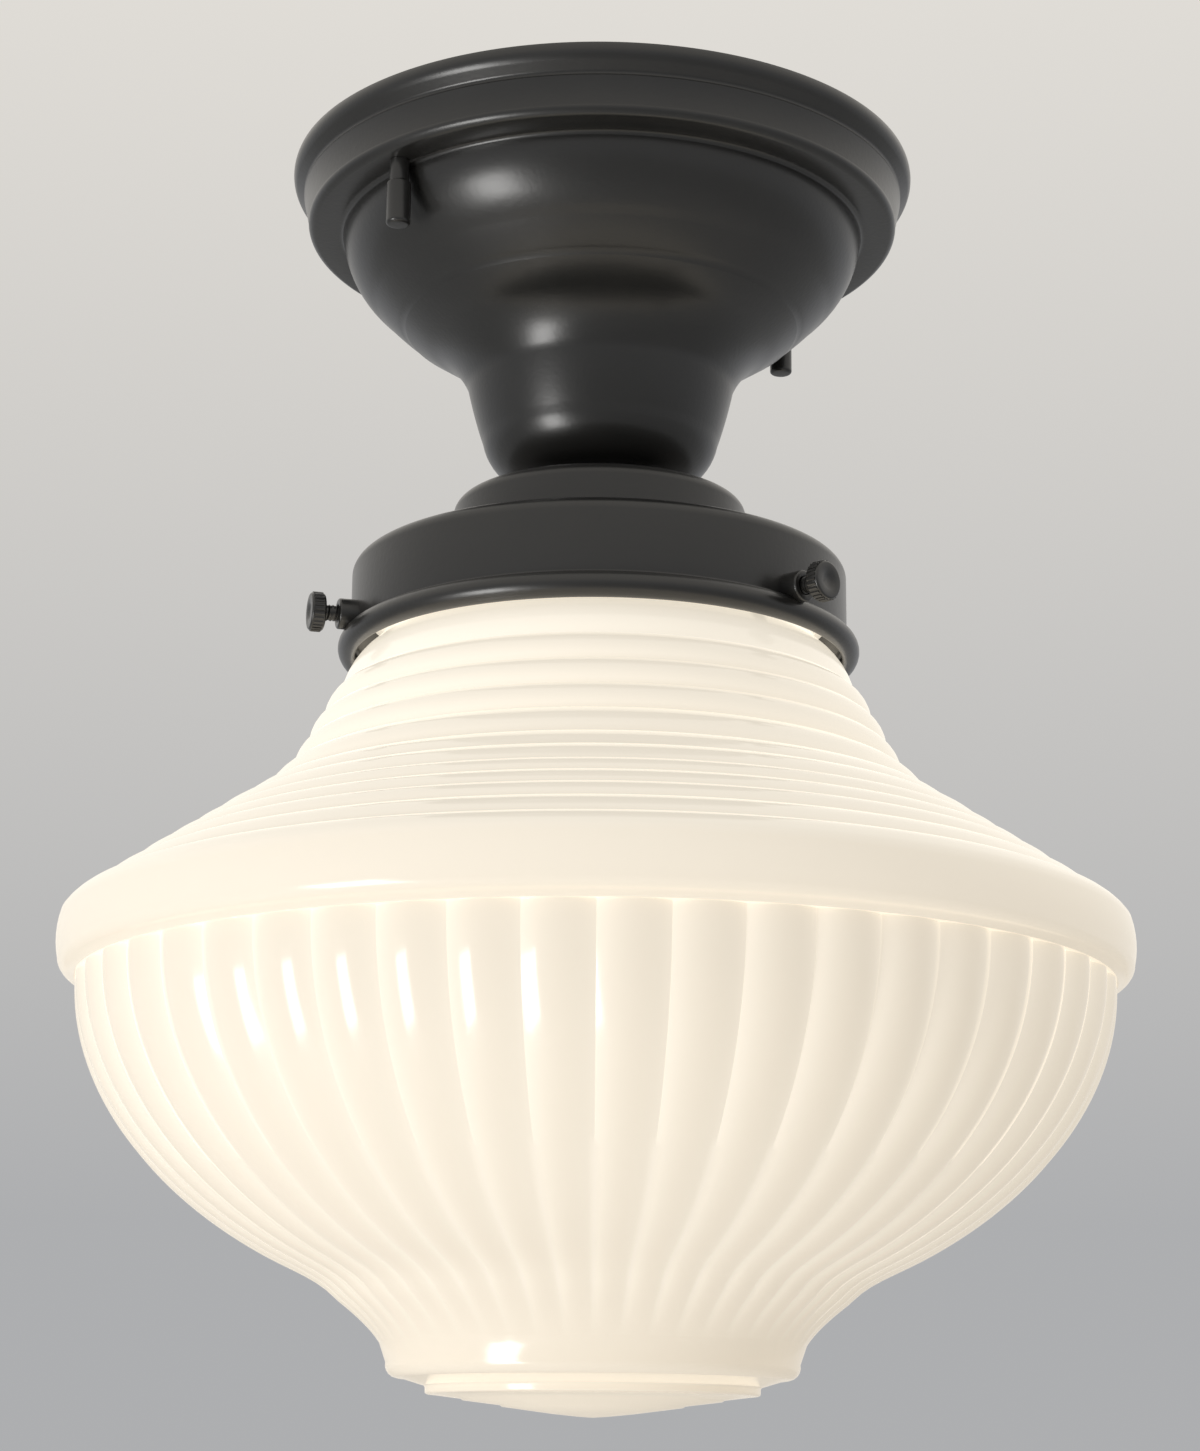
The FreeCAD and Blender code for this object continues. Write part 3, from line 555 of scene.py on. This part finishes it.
def cap_nut(node):
    """A cap nut, bored from above. Its body has the node's name."""
    bottom, top = span(node)[:2]
    across = node_middle(node)
    nut_outline = trace((nut_bore, top), [
        (1.9, top), (2.0, top - 0.1), (2.0, top - 4.6), (2.05, top - 4.85, 2.25, top - 4.95),
        (2.45, top - 5.05, 2.5, top - 5.3),
        (2.5, bottom + 0.9), (2.35, bottom + 0.3, 1.8, bottom + 0.05), (0.9, bottom), (0, bottom),
        (0, bottom + 1.8), (nut_bore, bottom + 1.8)], 5)
    mesh = lathe_mesh(node, nut_outline, 40, True)
    mesh.transform(Matrix.Translation((across.x, across.y, 0)))
    add_piece("slim_" + node, mesh, paint, node, "charcoal_paint", node)


cap_nut("cap_nut_left")
cap_nut("cap_nut_right")

# %% [markdown]
# ## Threaded rods
# The studs and the lamp pipe are plain rods in the model. Here they get a real
# thread, from the same tree as the screws.

# %% Two studs
stud_radius = 1.3
stud_pitch = 0.7
stud_ridge = 0.21
bottom, top, half_span = span("canopy_studs")
stud_length = top - bottom
stud_outline = [
    (0, 0), (stud_radius - 0.2, 0), (stud_radius, 0.3), (stud_radius, stud_length - 0.3),
    (stud_radius - 0.2, stud_length), (0, stud_length)]
both_studs = bmesh.new()
for side in (-1, 1):
    stud = run_tree(lathe_mesh("stud", stud_outline, 24), thread_tree, {
        "Radius": (stud_radius - 0.02) * MM, "Ridge": stud_ridge * MM, "Pitch": stud_pitch * MM,
        "Turns": stud_length / stud_pitch - 1.5, "Start": 0.5 * MM, "Material": zinc})
    stud.transform(Matrix.Translation((side * (half_span - 1.5) * MM, 0, bottom * MM)))
    both_studs.from_mesh(stud)
studs = bpy.data.meshes.new("studs")
both_studs.to_mesh(studs)
both_studs.free()
add_piece("threaded_studs", studs, zinc, "fixture", "zinc_steel", "canopy_studs")

# %% Lamp pipe
pipe_bore = 3.2
pipe_radius = 4.6
pipe_pitch = 0.94
pipe_ridge = 0.32
bottom, top = span("nipple")[:2]
pipe_outline = [
    (pipe_bore, bottom), (pipe_radius - 0.2, bottom), (pipe_radius, bottom + 0.3), (pipe_radius, top - 0.3),
    (pipe_radius - 0.2, top), (pipe_bore, top)]
pipe_mesh = run_tree(lathe_mesh("pipe", pipe_outline, 48, True), thread_tree, {
    "Radius": (pipe_radius - 0.08) * MM, "Ridge": pipe_ridge * MM, "Pitch": pipe_pitch * MM,
    "Turns": (top - bottom) / pipe_pitch - 1.5, "Start": (bottom + 0.6) * MM, "Material": zinc})
add_piece("lamp_pipe", pipe_mesh, zinc, "fixture", "zinc_steel", "nipple")

# %% [markdown]
# ## Opal glass
# The shade is one piece of blown opal glass. Its outline has a lip, a neck, four
# wide rings, seven fine rings and a plain band, and below the band a bowl whose
# ribs are pressed into the outside only. It is lit from inside, so it glows: the
# glow is a little stronger in the valleys between the ribs, where the glass is
# thin.

# %% Rings of the shade
lip_height = 6.4
band_height = 8.5
band_seat = 12.2
lip_bottom = shade_top - lip_height
ring_point = (53.8, lip_bottom - 16.4)
bowl_radius = 105.4
wide_rings = [(3.4, 6.0), (2.9, 5.7), (3.0, 5.6), (6.0, 6.0)]
fine_rings = [(6.6, 4.1), (6.2, 4.2), (4.5, 3.2), (5.4, 3.4), (5.0, 3.6), (6.2, 4.1), (5.7, 3.6)]
ring_arc = 6
neck_steps = [
    (48.7, shade_top), (49.55, shade_top - 0.35, 49.9, shade_top - 1.2), (49.9, lip_bottom + 2.6),
    (48.7, lip_bottom + 1.0, 46.1, lip_bottom), (45.2, lip_bottom - 1.2), (45.2, lip_bottom - 3.5),
    (46.3, lip_bottom - 5.4, 48.4, lip_bottom - 7.4), (51.9, lip_bottom - 11.4, *ring_point)]
ring_steps = []
for rings, bulge in ((wide_rings, 0.95), (fine_rings, 0.7)):
    for out_by, down_by in rings:
        length = math.hypot(out_by, down_by)
        end = (ring_point[0] + out_by, ring_point[1] - down_by)
        middle = (ring_point[0] + out_by / 2 + bulge * down_by / length,
                  ring_point[1] - down_by / 2 + bulge * out_by / length)
        ring_steps.append((*middle, *end))
        ring_point = end
band_top = ring_point
bowl_top = band_top[1] - band_seat
band_steps = [
    (band_top[0] + 0.7, band_top[1] - band_height / 2, band_top[0] + 0.3, band_top[1] - band_height),
    (band_top[0] - 0.4, band_top[1] - 10.3, band_top[0] - 2.0, band_top[1] - 11.1),
    (bowl_radius + 0.2, bowl_top)]
outside_neck = trace((44.0, shade_top), neck_steps, ring_arc)
outside = trace((44.0, shade_top), neck_steps + ring_steps + band_steps, ring_arc)
print("ribs start at", round(bowl_top, 1), "mm")


# %% Bowl, foot and inside
bowl_depth = 68.8
bowl_height = 70.3
foot_radius = 41.9
foot_height = 7.0
glass_wall = 4.0
inner_gap = 0.6
flare_spread = 0.385
flare_power = 1.4
flare_reach = 1.7
flare_start = 0.78
flare_end = 0.91
bowl_rows = 46


def bowl_crest(drop):
    """Radius over the ribs at a depth below the band: an ellipse that flares to the foot."""
    ellipse = bowl_radius * math.sqrt(max(0.0, 1 - (drop / bowl_depth) ** 2))
    flare = foot_radius + flare_spread * (bowl_height + flare_reach - drop) ** flare_power
    share = min(1.0, max(0.0, (drop / bowl_depth - flare_start) / (flare_end - flare_start)))
    mix = share * share * (3 - 2 * share)
    return ellipse * (1 - mix) + flare * mix


drops = [bowl_height * (0.55 * i / bowl_rows + 0.45 * math.sin(math.pi / 2 * i / bowl_rows))
         for i in range(bowl_rows + 1)]
bowl = [(bowl_crest(drop), bowl_top - drop) for drop in drops]
foot_top = bowl_top - bowl_height
foot_bottom = foot_top - foot_height
foot = trace((foot_radius + 0.6, foot_top - 0.3), [
    (foot_radius - 0.7, foot_bottom + 3.0),
    (foot_radius - 1.3, foot_bottom + 0.8, foot_radius - 3.6, foot_bottom),
    (34.0, foot_bottom - 1.3), (33.5, foot_bottom - 1.5, 33.3, foot_bottom - 1.9), (33.3, foot_bottom - 2.7),
    (33.1, foot_bottom - 3.0, 32.6, foot_bottom - 3.1), (26.2, foot_bottom - 3.9), (25.8, foot_bottom - 4.2),
    (18.4, foot_bottom - 5.1), (18.0, foot_bottom - 5.4), (8.0, foot_bottom - 6.7), (3.0, foot_bottom - 7.2),
    (0, shade_bottom)], 6)
inner_depth = bowl_depth - glass_wall
inner_radius = bowl_radius - glass_wall - inner_gap


def oval(share):
    """A point of the hollow's lower half."""
    return inner_radius * math.sqrt(1 - share * share), bowl_top - share * inner_depth


inner_floor = foot_bottom + 6.0
inside = trace((0, inner_floor), [
    (36.3, inner_floor), (36.9, foot_top + 0.6),
    *(oval(share) for share in (0.88, 0.82, 0.74, 0.64, 0.52, 0.4, 0.3, 0.18, 0.05)),
    (band_top[0] - 3.2, band_top[1] - 6.0, band_top[0] - 4.0, band_top[1] - 0.5),
    (65.1, lip_bottom - 40.7), (51.8, lip_bottom - 18.4),
    (45.4, lip_bottom - 10.0, 42.0, lip_bottom - 3.5), (42.0, shade_top - 1.0),
    (42.4, shade_top - 0.2, 44.0, shade_top)], 5)

# %% [markdown]
# ## Ribs
# Fifty ribs run down the bowl. Each rib is a shallow round reed, with a sharp
# valley on either side, so its depth only depends on the angle. A tree moves
# each point of the bowl towards the axis by the valley's depth, times a weight
# that is stored with the mesh: full under the band, and fading out at the foot.
# It also stores how deep in a valley each point lies, which the glow reads.

# %% Rib tree
rib_tree, given, out = start_tree("bowl_ribs", {
    "Rib Count": "Int", "Depth Share": "Float", "First Angle": "Float", "Material": "Material"})
position = add(rib_tree, "GeometryNodeInputPosition").outputs[0]
parts = add(rib_tree, "ShaderNodeSeparateXYZ", {0: position})
angle = calc(rib_tree, "ARCTAN2", parts.outputs["Y"], parts.outputs["X"])
pitch_angle = calc(rib_tree, "DIVIDE", math.tau, given.outputs["Rib Count"])
along = calc(rib_tree, "DIVIDE", calc(rib_tree, "SUBTRACT", angle, given.outputs["First Angle"]), pitch_angle)
place = calc(rib_tree, "SUBTRACT", calc(rib_tree, "MULTIPLY", calc(rib_tree, "FRACT", along), 2.0), 1.0)
weight = add(rib_tree, "GeometryNodeInputNamedAttribute", {"Name": "rib_weight"}, data_type="FLOAT").outputs[0]
valley = calc(rib_tree, "MULTIPLY", calc(rib_tree, "POWER", calc(rib_tree, "ABSOLUTE", place), 2.0), weight)
full_depth = calc(rib_tree, "MULTIPLY", given.outputs["Depth Share"], pitch_angle)
shrink = calc(rib_tree, "SUBTRACT", 1.0, calc(rib_tree, "MULTIPLY", valley, full_depth))
moved = add(rib_tree, "ShaderNodeCombineXYZ", {
    "X": calc(rib_tree, "MULTIPLY", parts.outputs["X"], shrink),
    "Y": calc(rib_tree, "MULTIPLY", parts.outputs["Y"], shrink),
    "Z": parts.outputs["Z"]})
kept = add(rib_tree, "GeometryNodeStoreNamedAttribute", {
    "Geometry": given.outputs["Geometry"], "Name": "valley", "Value": valley},
    data_type="FLOAT", domain="POINT")
ribbed = add(rib_tree, "GeometryNodeSetPosition", {"Geometry": kept.outputs[0], "Position": moved.outputs[0]})
end_tree(rib_tree, ribbed.outputs[0], given.outputs["Material"], out)

# %% Turning the shade and pressing its ribs
rib_count = 50
rib_depth_share = 0.12
rib_last_depth = 0.08
segments = 8 * rib_count
first_angle = math.radians(-134.8)
fade_height = 10.0
shade_points = outside + bowl + foot + inside[:-1]
bowl_rows_start = len(outside)


def rib_weight(row):
    """How deep the valleys are at a row of the shade, from 0 to 1."""
    if not bowl_rows_start <= row < bowl_rows_start + len(bowl):
        return 0.0
    return min(1.0, (bowl_height - drops[row - bowl_rows_start]) / fade_height + rib_last_depth)


def store_rows(mesh, name, values, points):
    """Stores one number for each row of a turned mesh."""
    per_point = []
    for value, (radius, height) in zip(values, points):
        per_point += [value] * (1 if radius < 1e-6 else segments)
    mesh.attributes.new(name, "FLOAT", "POINT").data.foreach_set("value", per_point)


# The crease value dims each ring crease as painted shade. The ring values rise towards each ring's lower edge,
# partly glow and partly painted light.
neck_glow = 0.9
painted_crease_shade = 0.66
ring_glow_and_painted_light = (0.70, 0.78)
band_glow = (0.5, 0.3)
bowl_glow = (0.31, 0.21)


def fade_glow(ends, share):
    """A glow between the two ends of a stretch of glass."""
    return ends[0] + (ends[1] - ends[0]) * share


def row_glow(row):
    """How strongly a row glows, from 0 to 1: most at the neck, near the lamp, and least at the foot. Along
    each ring it rises as painted light, and at each crease it dips as painted shade.
    """
    rings_start = len(outside_neck)
    band_start = rings_start + ring_arc * (len(wide_rings) + len(fine_rings))
    if row < rings_start:
        return neck_glow
    if row < band_start:
        along = ((row - rings_start) % ring_arc + 1) / ring_arc
        return painted_crease_shade if along == 1.0 else fade_glow(ring_glow_and_painted_light, along)
    if row < bowl_rows_start:
        return fade_glow(band_glow, (row - band_start) / (bowl_rows_start - band_start))
    down = (bowl_top - shade_points[row][1]) / bowl_height
    return fade_glow(bowl_glow, min(1.0, max(0.0, down)) ** 2)


shade_mesh = lathe_mesh("shade", shade_points, segments, True, first_angle)
rows = range(len(shade_points))
store_rows(shade_mesh, "rib_weight", [rib_weight(row) for row in rows], shade_points)
store_rows(shade_mesh, "row_glow", [row_glow(row) for row in rows], shade_points)

# %% [markdown]
# ## The glow of the glass
# Opal glass scatters the lamp's light until the whole shade glows. A path traced
# bulb behind real scattering glass would be slow and noisy, so the glow is the
# material's own soft emission, and daylight falls on top of it. The stored valley
# number steers it as the glass's thickness does. The stored row_glow number makes
# the glow fall away from the lamp, and it also holds painted light along each ring
# and painted shade in each ring crease.

# %% Glass finish
valley_share = 0.26
dim_glow = (0.345, 0.285, 0.20)
bright_glow = (0.62, 0.57, 0.48)


def stored(tree, name):
    """A number that the mesh stores."""
    return add(tree, "ShaderNodeAttribute", attribute_name=name).outputs["Fac"]


def make_opal(name):
    """Glossy opal glass that is lit from inside."""
    material, tree, shader = new_material(name)
    cloud = noise(tree, 14.0, 3.0)
    valleys = calc(tree, "MULTIPLY", stored(tree, "valley"), valley_share)
    glow = add(tree, "ShaderNodeMath", {0: valleys, 1: stored(tree, "row_glow")},
               operation="ADD", use_clamp=True)
    feed(tree, shader, {
        "Emission Color": blend(tree, glow.outputs[0], dim_glow, bright_glow),
        "Emission Strength": 1.0,
        "Base Color": blend(tree, cloud, (0.68, 0.63, 0.56), (0.71, 0.67, 0.60)),
        "Roughness": between(tree, cloud, 0.11, 0.16),
        "Normal": relief(tree, noise(tree, 90.0), 0.08, 0.0005)})
    return material


opal = make_opal("opal_glass")
shade_mesh = run_tree(shade_mesh, rib_tree, {
    "Rib Count": rib_count, "Depth Share": rib_depth_share, "First Angle": first_angle, "Material": opal})
add_piece("opal_shade", shade_mesh, opal, "shade", "opal_glass", "glass_shade")

# %% [markdown]
# ## Camera
# The light is seen from below, from the side where one canopy nut shows at the
# left. Directions are easier to think of as the photographer saw them: across to
# the right, away from the camera, and up. A helper turns them into the model's
# own axes, which follow the crossbar.

# %% Camera
heading = math.radians(-44.8)


def seen(across, away, up):
    """A point in metres from the photographer's directions, in the model's axes."""
    return Matrix.Rotation(heading, 3, "Z") @ Vector((across, away, up))


camera_distance = 0.602
camera_height = -0.2745
pitch = math.radians(14.16)
roll = math.radians(0.45)
yaw = math.radians(-0.04)
camera = bpy.data.objects.new("camera", bpy.data.cameras.new("camera"))
scene.collection.objects.link(camera)
camera.matrix_world = (Matrix.Translation(seen(0, -camera_distance, camera_height))
                       @ Matrix.Rotation(heading + yaw, 4, "Z")
                       @ Matrix.Rotation(math.pi / 2 + pitch, 4, "X") @ Matrix.Rotation(roll, 4, "Z"))
camera.data.lens = 73.49
camera.data.sensor_width = 36.0
camera.data.clip_start = 0.02
scene.camera = camera
print("camera at", [round(value, 3) for value in camera.matrix_world.translation])

# %% [markdown]
# ## Light, floor and background
# Soft daylight comes from a window at the left, a little below the light. Two weaker
# lights, one from the right and one from behind, leave no highlight. What the
# camera and the gloss see of the world is written apart from how much it lights,
# so the background is pale and doesn't wash out the glass.

# %% Lights
shade_middle = Vector((0, 0, -0.13))


def add_area(name, place, size, power, color, gloss=True):
    """A soft rectangular light that faces the middle of the shade. Without gloss it leaves no highlight."""
    lamp = bpy.data.objects.new(name, bpy.data.lights.new(name, "AREA"))
    lamp.data.shape = "RECTANGLE"
    lamp.data.size, lamp.data.size_y = size
    lamp.data.energy = power
    lamp.data.color = color
    lamp.visible_glossy = gloss
    scene.collection.objects.link(lamp)
    turn = (shade_middle - place).to_track_quat("-Z", "Y").to_matrix().to_4x4()
    lamp.matrix_world = Matrix.Translation(place) @ turn


add_area("window", seen(-0.98, -0.81, -0.72), (0.42, 0.66), 8.5, (1.0, 0.99, 0.97))
add_area("fill", seen(1.2, -0.5, -0.35), (0.9, 0.9), 1.5, (1.0, 0.94, 0.87), gloss=False)
add_area("back", seen(-0.5, 1.1, 0.1), (0.8, 0.8), 1.2, (1.0, 0.98, 0.96), gloss=False)

# %% World
world = bpy.data.worlds.new("room")
scene.world = world
world.use_nodes = True
room = world.node_tree
seen_wall = room.nodes["Background"]
lighting = add(room, "ShaderNodeBackground", {"Color": (0.95, 0.97, 1.0, 1), "Strength": 0.38})
direction = add(room, "ShaderNodeSeparateXYZ", {0: add(room, "ShaderNodeTexCoord").outputs["Generated"]})
rise = add(room, "ShaderNodeMapRange", {"From Min": 0.08, "From Max": 0.52, "Value": direction.outputs["Z"]})
wall_color = blend(room, rise.outputs["Result"], (0.42, 0.425, 0.435), (0.79, 0.76, 0.71))
feed(room, seen_wall, {"Color": wall_color})
ray = add(room, "ShaderNodeLightPath").outputs
looks = calc(room, "MAXIMUM", ray["Is Camera Ray"], ray["Is Glossy Ray"])
looks = calc(room, "MAXIMUM", looks, ray["Is Transmission Ray"])
choose = add(room, "ShaderNodeMixShader", {0: looks, 1: lighting.outputs[0], 2: seen_wall.outputs[0]})
feed(room, room.nodes["World Output"], {"Surface": choose.outputs[0]})

# %% Floor
floor_mesh = bpy.data.meshes.new("floor")
floor_reach = 6.0
floor_height = -1.0
corners = [(x * floor_reach, y * floor_reach, floor_height) for x, y in ((-1, -1), (1, -1), (1, 1), (-1, 1))]
floor_mesh.from_pydata(corners, [], [(0, 1, 2, 3)])
floor = bpy.data.objects.new("floor", floor_mesh)
scene.collection.objects.link(floor)
floor_mesh.materials.append(make_finish("floor_paint", (0.80, 0.79, 0.77), (0.78, 0.77, 0.75), 0.8, grain=40.0,
                                        bump=0.02, patch=2.0))
